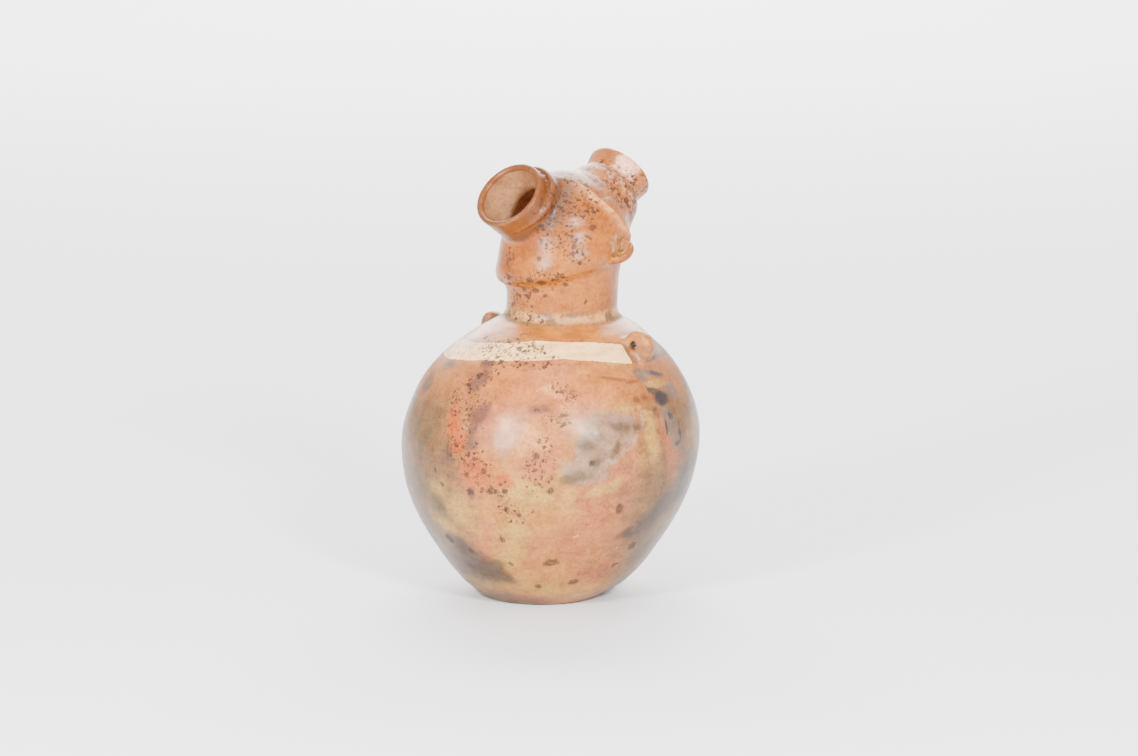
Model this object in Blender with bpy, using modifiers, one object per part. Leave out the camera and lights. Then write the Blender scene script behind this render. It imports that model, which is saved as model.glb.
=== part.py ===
"""Figural spout vessel: a hand-built, burnished clay jar, hollow and empty.

The round body carries a neck that widens into a head.  The head's open mouth is a
flared spout that points up and forward (-Y), and a second spout rises from a mound at
the back (+Y).  A raised hood edge runs over the crown from ear to ear, a cupped ear
stands on each side, and two pierced discs sit on the shoulder.  It is one piece of
fired clay, so it is one solid.  Metres, +Z up, origin at the middle of the underside.
"""
import math

import bmesh
import bpy
import numpy as np
from mathutils import Matrix, Vector
from mathutils.bvhtree import BVHTree

OBJECT_NAME = "figural_spout_vessel"

# Clay walls
WALL = 0.0058                 # body, neck and head
FLOOR = 0.0080                # under the body

# Outer outline, as (radius, height), from the edge of the underside to the head
BASE_RADIUS = 0.0390
BODY_OUTLINE = [
    (BASE_RADIUS, 0.0000), (0.0445, 0.0040), (0.0555, 0.0120), (0.0692, 0.0270),
    (0.0850, 0.0520), (0.0950, 0.0750), (0.0997, 0.1010), (0.0972, 0.1220),
    (0.0882, 0.1450), (0.0745, 0.1630), (0.0562, 0.1780), (0.0462, 0.1845),
]
NECK_OUTLINE = [(0.0388, 0.1885), (0.0369, 0.1950), (0.0372, 0.2040), (0.0382, 0.2084)]
JAW_OUTLINE = [(0.0427, 0.2124), (0.0446, 0.2165), (0.0441, 0.2206), (0.0420, 0.2260)]
CROWN_CENTRE = 0.2430         # height where the side of the head turns into the crown
CROWN_RADIUS = 0.0409
CROWN_RISE = 0.0423
CROWN_RINGS = 8
CROWN_TIP = 0.0040            # radius of the crown's last ring
BODY_STEPS = 2                # rings for each stretch between two points of the body
ROUND_SEGMENTS = 56
HOLLOW_SEGMENTS = 40
HOLLOW_NECK = (0.1865, 0.2040)                # heights between which the hollow is a straight neck

# The pot leans: how far its middle moves sideways at each height, and which way
LEAN_ANGLE = math.radians(41.5)               # from +X towards +Y
LEAN_HEIGHTS = [0, 0.003, 0.006, 0.012, 0.050, 0.075, 0.100, 0.130, 0.155, 0.170, 0.182, 0.192,
                0.205, 0.235]
LEAN_SHIFTS = [0, 0.0019, 0.0035, 0.0046, 0.0046, 0.0056, 0.0070, 0.0086, 0.0096, 0.0110, 0.0138, 0.0148,
               0.0152, 0.0157]

# The jaw is a ledge at the front that rises towards the ears and fades behind them
JAW_RISE = 0.0135
JAW_RISE_FROM, JAW_RISE_TO = math.radians(12), math.radians(88)
JAW_DEPTH = 0.0042
JAW_FADE_FROM, JAW_FADE_TO = math.radians(60), math.radians(125)
JAW_BAND = (0.2000, 0.2120, 0.2260, 0.2480)   # heights where its rise starts, is whole, and ends
JAW_LIP = (0.2075, 0.2150, 0.2215, 0.2330)    # heights between which it stands proud

# Spouts: outlines are (distance from the head's middle along the spout, radius)
HEAD_CENTRE_HEIGHT = 0.2350
MOUTH_ELEVATION = math.radians(39.7)
MOUTH_SIDESTEP = -0.0062                      # the mouth sits a little to the figure's right
MOUTH_CUP = [(0.020, 0.0180), (0.042, 0.0221), (0.050, 0.0233), (0.0570, 0.0241), (0.0600, 0.0244),
             (0.0614, 0.0236)]
MOUTH_COLLAR = [(0.020, 0.0200), (0.040, 0.0250), (0.0490, 0.0257), (0.0550, 0.0252), (0.0582, 0.0236),
                (0.0592, 0.0215)]
MOUTH_COLLAR_RAISE = 0.0034                   # the collar behind the lip is thicker above
MOUTH_BORE = [(0.026, 0.0115), (0.034, 0.0120), (0.042, 0.0148), (0.050, 0.0178), (0.0560, 0.0196),
              (0.0598, 0.0203), (0.0611, 0.0214), (0.0628, 0.0240)]
CROWN_ELEVATION = math.radians(38.8)
CROWN_SIDESTEP = 0.0020
CROWN_CUP = [(0.020, 0.0380), (0.027, 0.0330), (0.0340, 0.0292), (0.0410, 0.0270), (0.0490, 0.0254),
             (0.0540, 0.0234), (0.0563, 0.0208), (0.0585, 0.0204), (0.0640, 0.0215), (0.0680, 0.0221),
             (0.0703, 0.0224), (0.0714, 0.0214)]
CROWN_BORE = [(0.020, 0.0280), (0.038, 0.0215), (0.049, 0.0185), (0.0570, 0.0152), (0.0640, 0.0168),
              (0.0692, 0.0182), (0.0711, 0.0196), (0.0729, 0.0224)]
SPOUT_SEGMENTS = 32

# Hood edge: a bead round the mound of the rear spout, from one ear over the crown
HOOD_ANGLE = math.radians(66.5)               # off the rear spout's axis over the crown
HOOD_ANGLE_AT_EAR = math.radians(63.5)
HOOD_END = math.radians(-12)                  # how far down the side the bead runs
HOOD_BEND = math.radians(35)                  # where it starts to turn in towards the ear
HOOD_POINTS = 25
HOOD_RADIUS = 0.0025
HOOD_END_RADIUS = 0.0018
HOOD_SUNK = 0.0005
HOOD_SUNK_AT_CROWN = 0.0019
HOOD_FADE = math.radians(50)                  # where the bead starts to sink towards the crown

# Ears: half cups on the sides of the head that open up and forward
EAR_ELEVATION = math.radians(58)
EAR_PLACE = Vector((0.0412, 0.0072, 0.0010))  # from the head's middle
EAR_OUTLINE = [(0.0040, 0.0000), (0.0078, 0.0013), (0.0100, 0.0035), (0.0107, 0.0057), (0.0103, 0.0073),
               (0.0094, 0.0079), (0.0084, 0.0073), (0.0074, 0.0059), (0.0045, 0.0047)]
EAR_DEPTH = 0.0077
EAR_SEGMENTS = 20

# Shoulder discs, pierced along the shoulder for a cord
LUG_PLACES = {                                # turn from the front, reach and height
    "left_lug": (math.radians(93), 0.0685, 0.1742),
    "right_lug": (math.radians(-98.5), 0.0662, 0.1716),
}
LUG_RADIUS = 0.0110
LUG_THICKNESS = 0.0082
LUG_ROUNDING = 0.0022
LUG_SEGMENTS = 24
LUG_HOLE_RADIUS = 0.0017
HOLE_SEGMENTS = 12

CLAY_COLOUR = (0.56, 0.27, 0.13, 1.0)
CLAY_ROUGHNESS = 0.42
WELD_DISTANCE = 0.00001


def clear_scene():
    for obj in list(bpy.data.objects):
        bpy.data.objects.remove(obj, do_unlink=True)


def new_collection(name):
    collection = bpy.data.collections.new(name)
    bpy.context.scene.collection.children.link(collection)
    return collection


def clay_material():
    material = bpy.data.materials.new("fired_clay")
    material.use_nodes = True
    shader = material.node_tree.nodes["Principled BSDF"]
    shader.inputs["Base Color"].default_value = CLAY_COLOUR
    shader.inputs["Roughness"].default_value = CLAY_ROUGHNESS
    shader.inputs["Metallic"].default_value = 0.0
    return material


def ease(value, start, end):
    """0 before start, 1 after end, and a smooth rise between them."""
    part = min(max((value - start) / (end - start), 0.0), 1.0)
    return part * part * (3 - 2 * part)


def hill(value, foot, top, top_end, foot_end):
    """1 between top and top_end, fading to 0 at foot and foot_end."""
    return ease(value, foot, top) * (1 - ease(value, top_end, foot_end))


def smooth_line(points, steps):
    """Points on a smooth curve through the given ones, steps to each stretch."""
    ends = [2 * Vector(points[0]) - Vector(points[1]), 2 * Vector(points[-1]) - Vector(points[-2])]
    line = [ends[0]] + [Vector(point) for point in points] + [ends[1]]
    curve = []
    for before, start, end, after in zip(line, line[1:], line[2:], line[3:]):
        for step in range(steps):
            part = step / steps
            curve.append(0.5 * (2 * start + (end - before) * part
                                + (2 * before - 5 * start + 4 * end - after) * part ** 2
                                + (3 * start - before - 3 * end + after) * part ** 3))
    curve.append(Vector(points[-1]))
    return [tuple(point) for point in curve]


def crown_outline(radius, rise):
    """Quarter ellipse from the side of the head to its top, as (radius, height)."""
    rings = []
    for ring in range(CROWN_RINGS):
        turn = 0.5 * math.pi * ring / CROWN_RINGS
        rings.append((radius * math.cos(turn), CROWN_CENTRE + rise * math.sin(turn)))
    return rings + [(CROWN_TIP, CROWN_CENTRE + rise * math.sqrt(1 - (CROWN_TIP / radius) ** 2))]


def bake(obj):
    """Replace an object's mesh by what its modifiers make of it."""
    evaluated = obj.evaluated_get(bpy.context.evaluated_depsgraph_get())
    mesh = bpy.data.meshes.new_from_object(evaluated)
    obj.modifiers.clear()
    obj.data = mesh
    return obj


def weld(obj):
    shape = bmesh.new()
    shape.from_mesh(obj.data)
    bmesh.ops.remove_doubles(shape, verts=shape.verts, dist=WELD_DISTANCE)
    shape.to_mesh(obj.data)
    shape.free()
    return obj


def as_guide(obj):
    """Mark an object that only shapes the vessel."""
    obj.hide_render = True
    obj.display_type = "WIRE"
    return obj


def turned(name, outline, segments, collection):
    """Turned solid: the outline, as (radius, height), runs from the top to the bottom."""
    closed = [(0.0, outline[0][1])] + list(outline) + [(0.0, outline[-1][1])]
    mesh = bpy.data.meshes.new(name)
    edges = [(index, index + 1) for index in range(len(closed) - 1)]
    mesh.from_pydata([(radius, 0.0, height) for radius, height in closed], edges, [])
    obj = bpy.data.objects.new(name, mesh)
    collection.objects.link(obj)
    screw = obj.modifiers.new("Turn", "SCREW")
    screw.steps = segments
    screw.render_steps = segments
    screw.use_merge_vertices = True
    screw.merge_threshold = WELD_DISTANCE
    return weld(bake(obj))


def lean_shift(height):
    """Sideways shift of the pot's middle at a height."""
    shift = float(np.interp(height, LEAN_HEIGHTS, LEAN_SHIFTS))
    return Vector((math.cos(LEAN_ANGLE) * shift, math.sin(LEAN_ANGLE) * shift, 0.0))


def lean(obj):
    for vertex in obj.data.vertices:
        vertex.co += lean_shift(vertex.co.z)
    return obj


def head_centre():
    return lean_shift(HEAD_CENTRE_HEIGHT) + Vector((0.0, 0.0, HEAD_CENTRE_HEIGHT))


def shape_jaw(obj):
    """Lift the jaw line towards the ears and let it fade round the back of the head."""
    for vertex in obj.data.vertices:
        across, forward, height = vertex.co.x, -vertex.co.y, vertex.co.z
        from_front = abs(math.atan2(across, forward))
        fade = JAW_DEPTH * hill(height, *JAW_LIP) * ease(from_front, JAW_FADE_FROM, JAW_FADE_TO)
        radius = math.hypot(across, forward)
        if radius > fade:
            vertex.co.x *= 1 - fade / radius
            vertex.co.y *= 1 - fade / radius
        vertex.co.z += JAW_RISE * hill(height, *JAW_BAND) * ease(from_front, JAW_RISE_FROM, JAW_RISE_TO)
    return obj


def pot_outline():
    body = smooth_line(BODY_OUTLINE, BODY_STEPS)
    return body + NECK_OUTLINE + JAW_OUTLINE + crown_outline(CROWN_RADIUS, CROWN_RISE)


def hollow_outline():
    """Inside of the pot: the body's outline set in by the wall, a plain neck and crown."""
    body = BODY_OUTLINE[1:-1]
    inside = []
    for before, point, after in zip(body, body[1:], body[2:]):
        along = (Vector(after) - Vector(before)).normalized()
        inside.append((point[0] - WALL * along.y, point[1] + WALL * along.x))
    floor_radius = inside[0][0] - 2 * WALL
    neck_radius = NECK_OUTLINE[1][0] - WALL
    neck = [(neck_radius, height) for height in HOLLOW_NECK]
    return ([(floor_radius, FLOOR)] + inside + neck
            + crown_outline(CROWN_RADIUS - WALL, CROWN_RISE - WALL)[::2])


def mouth_frame():
    """Middle of the head, stepped aside, with +Z along the mouth spout and +Y above it."""
    tilt = Matrix.Rotation(0.5 * math.pi - MOUTH_ELEVATION, 4, "X")
    return Matrix.Translation(head_centre() + Vector((MOUTH_SIDESTEP, 0.0, 0.0))) @ tilt


def crown_frame():
    """Middle of the head, stepped aside, with +Z along the rear spout."""
    tilt = Matrix.Rotation(CROWN_ELEVATION - 0.5 * math.pi, 4, "X")
    return Matrix.Translation(head_centre() + Vector((CROWN_SIDESTEP, 0.0, 0.0))) @ tilt


def spout_piece(name, outline, frame, collection):
    down = [(radius, distance) for distance, radius in reversed(outline)]
    obj = turned(name, down, SPOUT_SEGMENTS, collection)
    obj.matrix_world = frame
    return as_guide(obj)


def surface_tree(obj):
    shape = bmesh.new()
    shape.from_mesh(obj.data)
    shape.transform(obj.matrix_world)
    tree = BVHTree.FromBMesh(shape)
    shape.free()
    return tree


def hood_edge(pot, mound, collection):
    """Bead that lies on the head, round the mound of the rear spout."""
    trees = [surface_tree(pot), surface_tree(mound)]
    centre = head_centre()
    turn_back = crown_frame().to_3x3()
    curve = bpy.data.curves.new("hood_edge", "CURVE")
    curve.dimensions = "3D"
    curve.bevel_depth = HOOD_RADIUS
    curve.bevel_resolution = 2
    curve.use_fill_caps = True
    line = curve.splines.new("POLY")
    line.points.add(HOOD_POINTS - 1)
    for index, point in enumerate(line.points):
        turn = HOOD_END + (math.pi - 2 * HOOD_END) * index / (HOOD_POINTS - 1)
        above_end = min(turn, math.pi - turn)
        to_crown = ease(above_end, HOOD_END, HOOD_BEND)
        off_axis = HOOD_ANGLE_AT_EAR + (HOOD_ANGLE - HOOD_ANGLE_AT_EAR) * to_crown
        direction = turn_back @ Vector((math.sin(off_axis) * math.cos(turn),
                                        -math.sin(off_axis) * math.sin(turn), math.cos(off_axis)))
        reach = max(tree.ray_cast(centre, direction)[3] or 0.0 for tree in trees)
        sunk = HOOD_SUNK + (HOOD_SUNK_AT_CROWN - HOOD_SUNK) * ease(above_end, HOOD_FADE, 0.5 * math.pi)
        point.co = (*(centre + direction * (reach - sunk)), 1.0)
        point.radius = (HOOD_END_RADIUS + (HOOD_RADIUS - HOOD_END_RADIUS) * to_crown) / HOOD_RADIUS
    drawn = bpy.data.objects.new("hood_edge_line", curve)
    collection.objects.link(drawn)
    bpy.context.view_layer.update()
    evaluated = drawn.evaluated_get(bpy.context.evaluated_depsgraph_get())
    obj = bpy.data.objects.new("hood_edge", bpy.data.meshes.new_from_object(evaluated))
    obj.matrix_world = drawn.matrix_world
    collection.objects.link(obj)
    bpy.data.objects.remove(drawn, do_unlink=True)
    return as_guide(weld(obj))


def ear(name, side, collection):
    """Half cup, sunk in the side of the head, that opens the way the mouth points."""
    outline = [(radius, height - EAR_DEPTH) for radius, height in reversed(EAR_OUTLINE)]
    obj = turned(name, outline, EAR_SEGMENTS, collection)
    place = Vector((side * EAR_PLACE.x, EAR_PLACE.y, EAR_PLACE.z))
    turn = Matrix.Rotation(0.5 * math.pi - EAR_ELEVATION, 4, "X")
    obj.matrix_world = Matrix.Translation(head_centre() + place) @ turn
    return as_guide(obj)


def lug_frame(angle, reach, height):
    """Middle of a shoulder disc, with +Z along its hole."""
    place = Vector((reach * math.sin(angle), -reach * math.cos(angle), height))
    turn = Matrix.Rotation(angle, 4, "Z")
    return Matrix.Translation(place + lean_shift(height)) @ turn @ Matrix.Rotation(0.5 * math.pi, 4, "Y")


def short_cylinder(name, radius, depth, segments, frame, collection):
    bpy.ops.mesh.primitive_cylinder_add(vertices=segments, radius=radius, depth=depth)
    obj = bpy.context.object
    obj.name = name
    for owner in list(obj.users_collection):
        owner.objects.unlink(obj)
    collection.objects.link(obj)
    obj.matrix_world = frame
    return as_guide(obj)


def lug(name, frame, collection):
    obj = short_cylinder(name, LUG_RADIUS, LUG_THICKNESS, LUG_SEGMENTS, frame, collection)
    rounding = obj.modifiers.new("Worn edge", "BEVEL")
    rounding.width = LUG_ROUNDING
    rounding.segments = 2
    rounding.limit_method = "ANGLE"
    return obj


def combine(target, operation, other):
    boolean = target.modifiers.new(f"{operation.title()} {other.name}", "BOOLEAN")
    boolean.operation = operation
    boolean.solver = "EXACT"
    boolean.object = other


def build():
    clear_scene()
    parts = new_collection(OBJECT_NAME)
    guides = new_collection("shaping_guides")

    vessel = turned("vessel", pot_outline()[::-1], ROUND_SEGMENTS, parts)
    vessel.data.materials.append(clay_material())
    lean(shape_jaw(vessel))
    hollow = as_guide(lean(turned("hollow", hollow_outline()[::-1], HOLLOW_SEGMENTS, guides)))

    mouth_cup = spout_piece("mouth_cup", MOUTH_CUP, mouth_frame(), guides)
    raised = mouth_frame() @ Matrix.Translation((0.0, MOUTH_COLLAR_RAISE, 0.0))
    mouth_collar = spout_piece("mouth_collar", MOUTH_COLLAR, raised, guides)
    crown_cup = spout_piece("crown_cup", CROWN_CUP, crown_frame(), guides)
    bpy.context.view_layer.update()
    added = [mouth_cup, mouth_collar, crown_cup, hood_edge(vessel, crown_cup, guides),
             ear("left_ear", 1, guides), ear("right_ear", -1, guides)]
    half_facet = Matrix.Rotation(math.pi / SPOUT_SEGMENTS, 4, "Z")
    combine(hollow, "UNION", spout_piece("mouth_bore", MOUTH_BORE, mouth_frame() @ half_facet, guides))
    combine(hollow, "UNION", spout_piece("crown_bore", CROWN_BORE, crown_frame() @ half_facet, guides))
    cut = [hollow]
    for name, place in LUG_PLACES.items():
        frame = lug_frame(*place)
        added.append(lug(name, frame, guides))
        cut.append(short_cylinder(f"{name}_hole", LUG_HOLE_RADIUS, 2 * LUG_THICKNESS, HOLE_SEGMENTS,
                                  frame, guides))

    for piece in added:
        combine(vessel, "UNION", piece)
    for piece in cut:
        combine(vessel, "DIFFERENCE", piece)
    vessel.data.shade_smooth()


build()
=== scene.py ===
import math

import bmesh
import bpy
import numpy as np
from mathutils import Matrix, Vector


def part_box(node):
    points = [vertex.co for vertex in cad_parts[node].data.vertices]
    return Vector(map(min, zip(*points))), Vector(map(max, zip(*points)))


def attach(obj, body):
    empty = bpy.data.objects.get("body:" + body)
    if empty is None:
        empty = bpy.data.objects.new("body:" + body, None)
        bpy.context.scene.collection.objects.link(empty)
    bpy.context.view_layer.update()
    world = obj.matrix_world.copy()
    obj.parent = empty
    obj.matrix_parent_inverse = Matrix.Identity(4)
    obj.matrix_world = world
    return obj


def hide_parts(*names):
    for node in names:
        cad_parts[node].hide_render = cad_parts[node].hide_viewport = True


# Figural spout vessel: one hollow piece of burnished, fired clay with a painted band.
# Metres, +Z up.  The mouth points to -Y, so a turn of 0 degrees is the front and 90 is +X.

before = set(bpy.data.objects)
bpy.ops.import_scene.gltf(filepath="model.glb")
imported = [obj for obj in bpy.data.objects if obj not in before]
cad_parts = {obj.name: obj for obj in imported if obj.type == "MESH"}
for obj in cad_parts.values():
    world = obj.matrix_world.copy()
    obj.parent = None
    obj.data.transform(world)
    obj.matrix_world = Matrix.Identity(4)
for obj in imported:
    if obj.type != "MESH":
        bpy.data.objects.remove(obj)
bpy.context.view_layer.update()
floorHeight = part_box("vessel")[0].z

view = {
    "turn": 41.5, "lift": 10.5,        # degrees round from the front, and above level
    "distance": 2.9, "seesTo": 60,
    "lens": 137.61, "sensorWidth": 36,        # millimetres
    "target": (0.01488, 0.01263, 0.14584),
}
studio = {
    "floorSize": 40.0, "floorColour": (0.80, 0.79, 0.795, 1), "floorRoughness": 0.9,
    "skyColour": (1.0, 0.995, 1.0, 1), "skyStrength": 1.10,
    # name: turn from the front, height above level, distance, size, power
    "lamps": {
        "softboxLeft": (5.5, 20, 2.0, 0.42, 70),
        "softboxRight": (63.5, 26, 2.0, 0.40, 72),
        "overhead": (30, 74, 2.2, 1.2, 16),
        "backdrop": (221.5, 34, 4.4, 5.0, 700),
    },
}


# unit vector at a turn from the front and a height above level, in degrees
def directionAt(turn, lift):
    turn, lift = math.radians(turn), math.radians(lift)
    return np.array([math.sin(turn) * math.cos(lift), -math.cos(turn) * math.cos(lift), math.sin(lift)])


# stand a camera or a lamp off from the target, facing it
def aimAtTarget(obj, turn, lift, distance):
    outward = Vector(directionAt(turn, lift))
    obj.location = Vector(view["target"]) + outward * distance
    obj.rotation_euler = outward.to_track_quat("Z", "Y").to_euler()
    bpy.context.collection.objects.link(obj)


def placeCamera():
    camera = bpy.data.objects.new("studioCamera", bpy.data.cameras.new("studioCamera"))
    camera.data.lens = view["lens"]
    camera.data.sensor_width = view["sensorWidth"]
    camera.data.clip_end = view["seesTo"]
    aimAtTarget(camera, view["turn"], view["lift"], view["distance"])
    bpy.context.scene.camera = camera


def layFloor():
    half = studio["floorSize"] / 2
    corners = [(x, y, floorHeight) for x, y in ((-half, -half), (half, -half), (half, half), (-half, half))]
    mesh = bpy.data.meshes.new("studioFloor")
    mesh.from_pydata(corners, [], [(0, 1, 2, 3)])
    paper = bpy.data.materials.new("paperSweep")
    paper.use_nodes = True
    shader = paper.node_tree.nodes["Principled BSDF"]
    shader.inputs["Base Color"].default_value = studio["floorColour"]
    shader.inputs["Roughness"].default_value = studio["floorRoughness"]
    mesh.materials.append(paper)
    floor = bpy.data.objects.new("studioFloor", mesh)
    bpy.context.collection.objects.link(floor)


def hangLights():
    world = bpy.data.worlds.new("studioWorld")
    world.use_nodes = True
    sky = world.node_tree.nodes["Background"]
    sky.inputs["Color"].default_value = studio["skyColour"]
    sky.inputs["Strength"].default_value = studio["skyStrength"]
    bpy.context.scene.world = world
    for name, (turn, lift, distance, size, power) in studio["lamps"].items():
        lamp = bpy.data.objects.new(name, bpy.data.lights.new(name, "AREA"))
        lamp.data.energy = power
        lamp.data.shape = "DISK"
        lamp.data.size = size
        aimAtTarget(lamp, turn, lift, distance)


placeCamera()
layFloor()
hangLights()
print("camera, floor and lights are in place")


# from 0 at start to 1 at end, without a corner
def ease(value, start, end):
    part = np.clip((value - start) / (end - start), 0.0, 1.0)
    return part * part * (3 - 2 * part)


# 1 between top and topEnd, 0 outside foot and footEnd
def hill(value, foot, top, topEnd, footEnd):
    return ease(value, foot, top) * (1 - ease(value, topEnd, footEnd))


# smooth curve through the points, with so many steps from one to the next
def smoothLine(points, steps):
    points = np.array(points, float)
    line = np.vstack([2 * points[0] - points[1], points, 2 * points[-1] - points[-2]])
    parts = np.arange(steps)[:, None] / steps
    curve = []
    for before, start, end, after in zip(line, line[1:], line[2:], line[3:]):
        curve.append(0.5 * (2 * start + (end - before) * parts
                            + (2 * before - 5 * start + 4 * end - after) * parts ** 2
                            + (3 * start - before - 3 * end + after) * parts ** 3))
    return np.vstack(curve + [points[-1:]])


tableGrid = {"potStep": 0.0005, "fineStep": 0.00025, "pastRadius": 0.010, "pastEnds": 0.008}


# distances from a turned form, on a grid of radius and height.  The outline has (radius, height) rows
# from its bottom end to its top end.
def turnedTable(outline, step):
    outline = np.array(outline, float)
    closed = np.vstack([[0, outline[0, 1]], outline, [0, outline[-1, 1]]])
    low = np.array([0.0, outline[:, 1].min() - tableGrid["pastEnds"]])
    high = outline.max(0) + (tableGrid["pastRadius"], tableGrid["pastEnds"])
    radii, heights = np.meshgrid(np.arange(low[0], high[0], step), np.arange(low[1], high[1], step),
                                 indexing="ij")
    nearest = np.full(radii.shape, 1.0)
    inside = np.zeros(radii.shape, bool)
    for (startR, startH), (endR, endH) in zip(closed, closed[1:]):
        alongR, alongH = endR - startR, endH - startH
        part = ((radii - startR) * alongR + (heights - startH) * alongH) / (alongR ** 2 + alongH ** 2)
        part = np.clip(part, 0, 1)
        nearest = np.minimum(nearest, (radii - startR - part * alongR) ** 2
                             + (heights - startH - part * alongH) ** 2)
        if startH != endH:
            crossing = (heights < startH) != (heights < endH)
            inside ^= crossing & (radii < startR + (heights - startH) * alongR / alongH)
    return low, step, np.where(inside, -1, 1) * np.sqrt(nearest)


def readTable(table, radius, height):
    low, step, values = table
    across = np.clip((radius - low[0]) / step, 0, values.shape[0] - 1.001)
    up = np.clip((height - low[1]) / step, 0, values.shape[1] - 1.001)
    i, j = across.astype(int), up.astype(int)
    across, up = across - i, up - j
    return ((values[i, j] * (1 - across) + values[i + 1, j] * across) * (1 - up)
            + (values[i, j + 1] * (1 - across) + values[i + 1, j + 1] * across) * up)


# distance from a turned form that stands anywhere, at any angle
def turnedField(table, points, centre, axis):
    offset = points - centre
    along = offset @ axis
    return readTable(table, np.linalg.norm(offset - along[:, None] * axis, axis=1), along)


# two forms as one, and one form cut out of another, with a rounded join
def joinSoft(first, second, blend):
    part = np.clip(0.5 + 0.5 * (second - first) / blend, 0, 1)
    return second * (1 - part) + first * part - blend * part * (1 - part)


def cutSoft(first, second, blend):
    return -joinSoft(-first, second, blend)


# large primes that turn a place on a grid into a value with no pattern
scramble = {"place": (374761393, 668265263, 2147483647), "seed": 974711, "twist": 1274126177,
            "apart": 17.31}


# smooth value from -1 to 1 at each point, uneven but the same in each run
def roughness3d(points, scale, seed):
    place = points / scale + seed * scramble["apart"]
    cell = np.floor(place).astype(np.int64)
    part = place - cell
    part = part * part * part * (part * (part * 6 - 15) + 10)
    total = np.zeros(len(points))
    primeX, primeY, primeZ = scramble["place"]
    for corner in range(8):
        bits = np.array([corner & 1, corner >> 1 & 1, corner >> 2 & 1])
        grid = cell + bits
        value = grid[:, 0] * primeX + grid[:, 1] * primeY + grid[:, 2] * primeZ + seed * scramble["seed"]
        value = (value ^ (value >> 13)) * scramble["twist"] & 0x7FFFFFFF
        value = (value ^ (value >> 16)) & 0xFFFF
        weight = np.prod(np.where(bits, part, 1 - part), axis=1)
        total += weight * (value / 32767.5 - 1)
    return total


# Outlines have (radius, height) rows.  leanShifts gives how far the clay leans towards leanTurn.
pot = {
    "wall": 0.0058, "floor": 0.0080,
    "bodyOutline": [
        (0.0388, 0.0), (0.0424, 0.0010), (0.0462, 0.0040), (0.0514, 0.0080), (0.0570, 0.0126),
        (0.0692, 0.0270), (0.0850, 0.0520), (0.0950, 0.0750), (0.0997, 0.1010), (0.0972, 0.1220),
        (0.0882, 0.1450), (0.0745, 0.1630), (0.0562, 0.1780), (0.0470, 0.1838), (0.0408, 0.1872),
    ],
    "neckOutline": [(0.0378, 0.1905), (0.0369, 0.1950), (0.0371, 0.2040), (0.0380, 0.2080)],
    "jawOutline": [(0.0397, 0.2099), (0.0427, 0.2117), (0.0442, 0.2138), (0.0447, 0.2165),
                   (0.0447, 0.2190), (0.0441, 0.2225), (0.0433, 0.2275), (0.0424, 0.2340)],
    "crownHeight": 0.2430, "crownRadius": 0.0409, "crownRise": 0.0423,
    "crownSteps": 16, "crownStop": 0.02,        # stop short of the pole, in radians
    "hollowNeck": 0.1865, "hollowBend": 0.0020, "hollowNeckTop": 0.2040,
    "leanTurn": 41.5,
    "leanHeights": [0, 0.003, 0.006, 0.012, 0.025, 0.050, 0.075, 0.100, 0.130, 0.155, 0.170, 0.182,
                    0.192, 0.205, 0.235],
    "leanShifts": [0, 0.0014, 0.0024, 0.0036, 0.0043, 0.0046, 0.0056, 0.0070, 0.0086, 0.0096, 0.0110,
                   0.0138, 0.0148, 0.0152, 0.0157],
}
# the jaw's lower edge climbs towards each ear: turns from the front and how far up it lies there
jaw = {
    "edge": 0.2128, "foot": 0.1960, "above": 0.0080, "top": 0.2700,
    "turns": [-180, -140, -105, -76, -48, -20, 12, 39, 60, 84, 110, 145, 180],
    "rises": [0.0150, 0.0165, 0.0175, 0.0100, 0.0010, 0.0022, 0.0050, 0.0088, 0.0135, 0.0175, 0.0180,
              0.0165, 0.0150],
    "fade": 0.0042, "fadeTurns": (62, 125), "fadeBand": (0.2075, 0.2150, 0.2215, 0.2330),
}
headHeight = 0.2350        # of the point that both spouts' axes pass
mouth = {
    "lift": 39.7, "sidestep": -0.0062,
    "cup": [(0.0180, 0.020), (0.0221, 0.042), (0.0233, 0.050), (0.0241, 0.057), (0.0244, 0.0598),
            (0.0240, 0.0611), (0.0228, 0.0617), (0.0216, 0.0614)],
    "collar": [(0.0200, 0.020), (0.0246, 0.036), (0.0250, 0.0455)], "collarRaise": 0.0030,
    # a roll of clay round the collar, thickest above and a little to one side
    "rollRadius": 0.0243, "rollThickness": 0.0023, "rollAlong": 0.0488,
    "rollSide": 0.6, "rollThinnest": 0.45, "rollGrows": (-0.45, 0.35),
    "bore": [(0.0115, 0.026), (0.0120, 0.034), (0.0148, 0.042), (0.0178, 0.050), (0.0196, 0.056),
             (0.0203, 0.0598), (0.0210, 0.0608), (0.0240, 0.0640)],
}
rearSpout = {
    "lift": 38.8, "sidestep": 0.0020,
    "cup": [(0.0380, 0.020), (0.0330, 0.027), (0.0292, 0.034), (0.0270, 0.041), (0.0254, 0.049),
            (0.0236, 0.0535), (0.0212, 0.0562), (0.0205, 0.0585), (0.0215, 0.064), (0.0222, 0.068),
            (0.0224, 0.0700), (0.0219, 0.0711), (0.0208, 0.0716), (0.0199, 0.0712)],
    "bore": [(0.0280, 0.020), (0.0215, 0.038), (0.0185, 0.049), (0.0152, 0.057), (0.0168, 0.064),
             (0.0182, 0.0690), (0.0192, 0.0706), (0.0224, 0.0736)],
}
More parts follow.
